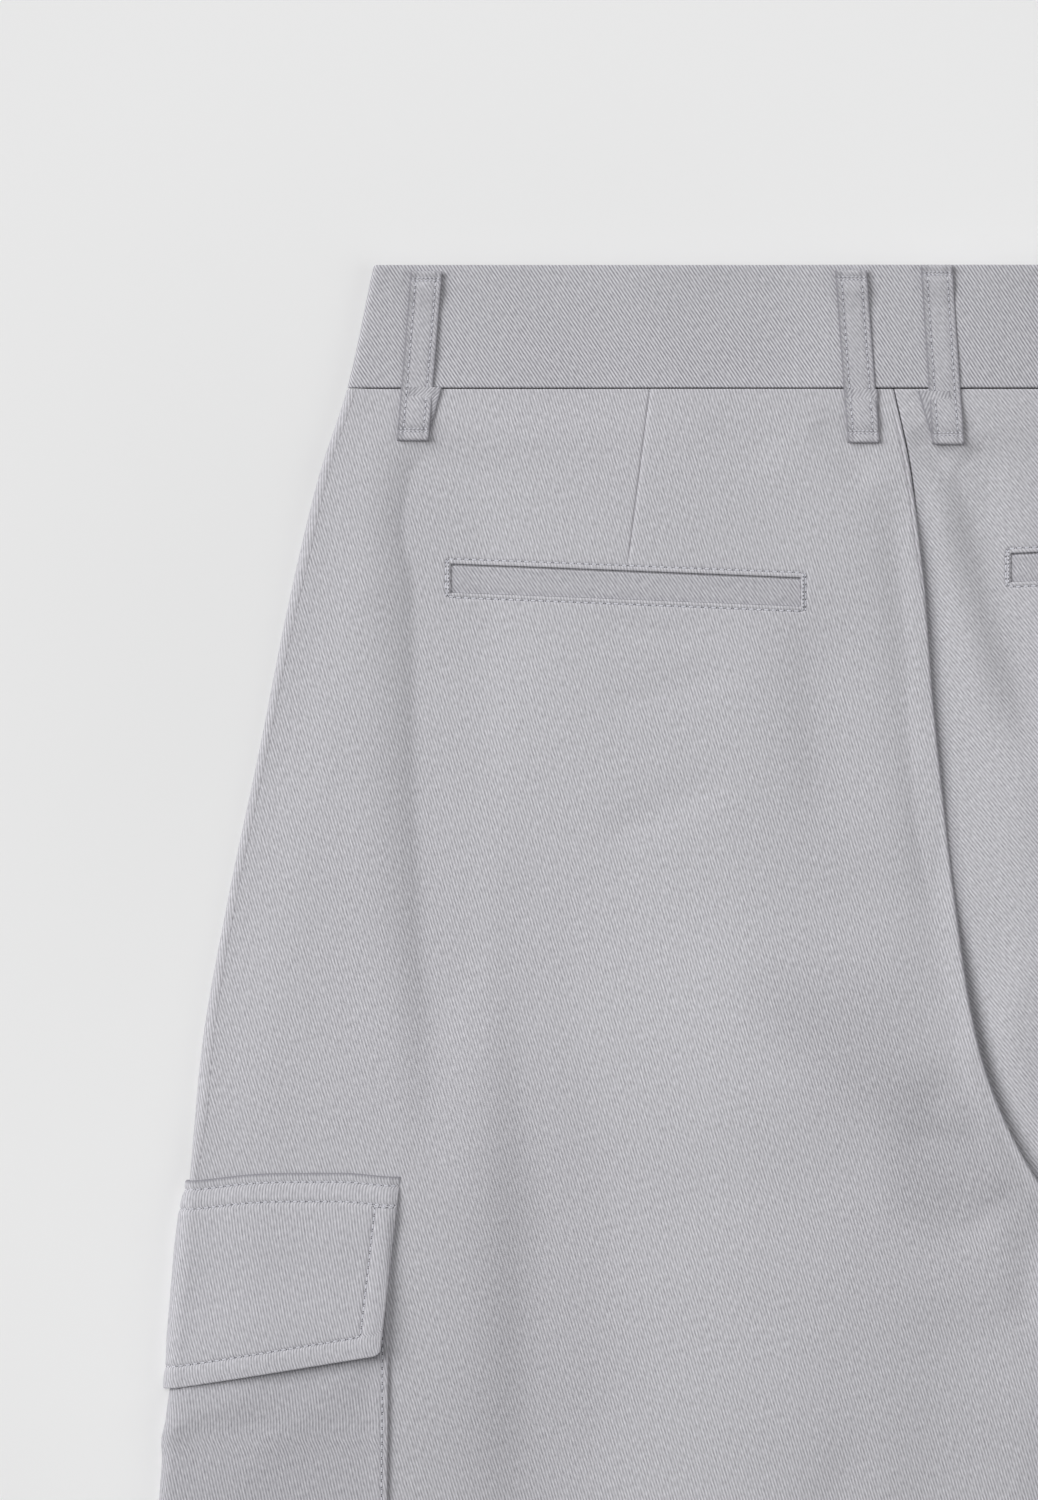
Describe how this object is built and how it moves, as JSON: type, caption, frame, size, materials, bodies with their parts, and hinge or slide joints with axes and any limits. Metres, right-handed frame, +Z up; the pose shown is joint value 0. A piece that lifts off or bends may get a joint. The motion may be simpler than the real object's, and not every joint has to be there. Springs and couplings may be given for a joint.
{
  "type": "cargo trousers",
  "caption": "Wide-leg cargo trousers laid flat with the back uppermost: waistband with belt loops, welt back pockets, and flapped cargo pockets wrapped round the side seams.",
  "frame": {"origin": "centre of the laid garment's outline, on the surface it lies on", "axes": "+X across, to the right as the back is seen; +Y along the legs towards the waist; +Z up, away from the surface, out of the garment's back"},
  "size_m": [0.576, 1.04, 0.0126],
  "materials": {
    "body_twill": "soft washed cotton twill, pale lilac grey, diagonal weave",
    "waistband_twill": "the same twill, cut along the waist and interlined",
    "pocket_twill": "the same twill",
    "belt_loop_twill": "the same twill, folded to a strip and edge stitched",
    "sewing_thread": "matt thread in the cloth's colour",
    "button_resin": "satin resin button in the cloth's colour"
  },
  "bodies": {
    "root": {"back_left": "body_twill", "back_right": "body_twill", "front_left": "body_twill", "front_right": "body_twill", "waistband": "waistband_twill", "welt_left": "pocket_twill", "welt_right": "pocket_twill", "cargo_pocket_left": "pocket_twill", "cargo_pocket_right": "pocket_twill", "cargo_flap_left": "pocket_twill", "cargo_flap_right": "pocket_twill", "belt_loop_back_left": "belt_loop_twill", "belt_loop_back_right": "belt_loop_twill", "belt_loop_side_left": "belt_loop_twill", "belt_loop_side_right": "belt_loop_twill", "belt_loop_front_left": "belt_loop_twill", "belt_loop_front_right": "belt_loop_twill", "waist_button": "button_resin"}
  },
  "joints": []
}
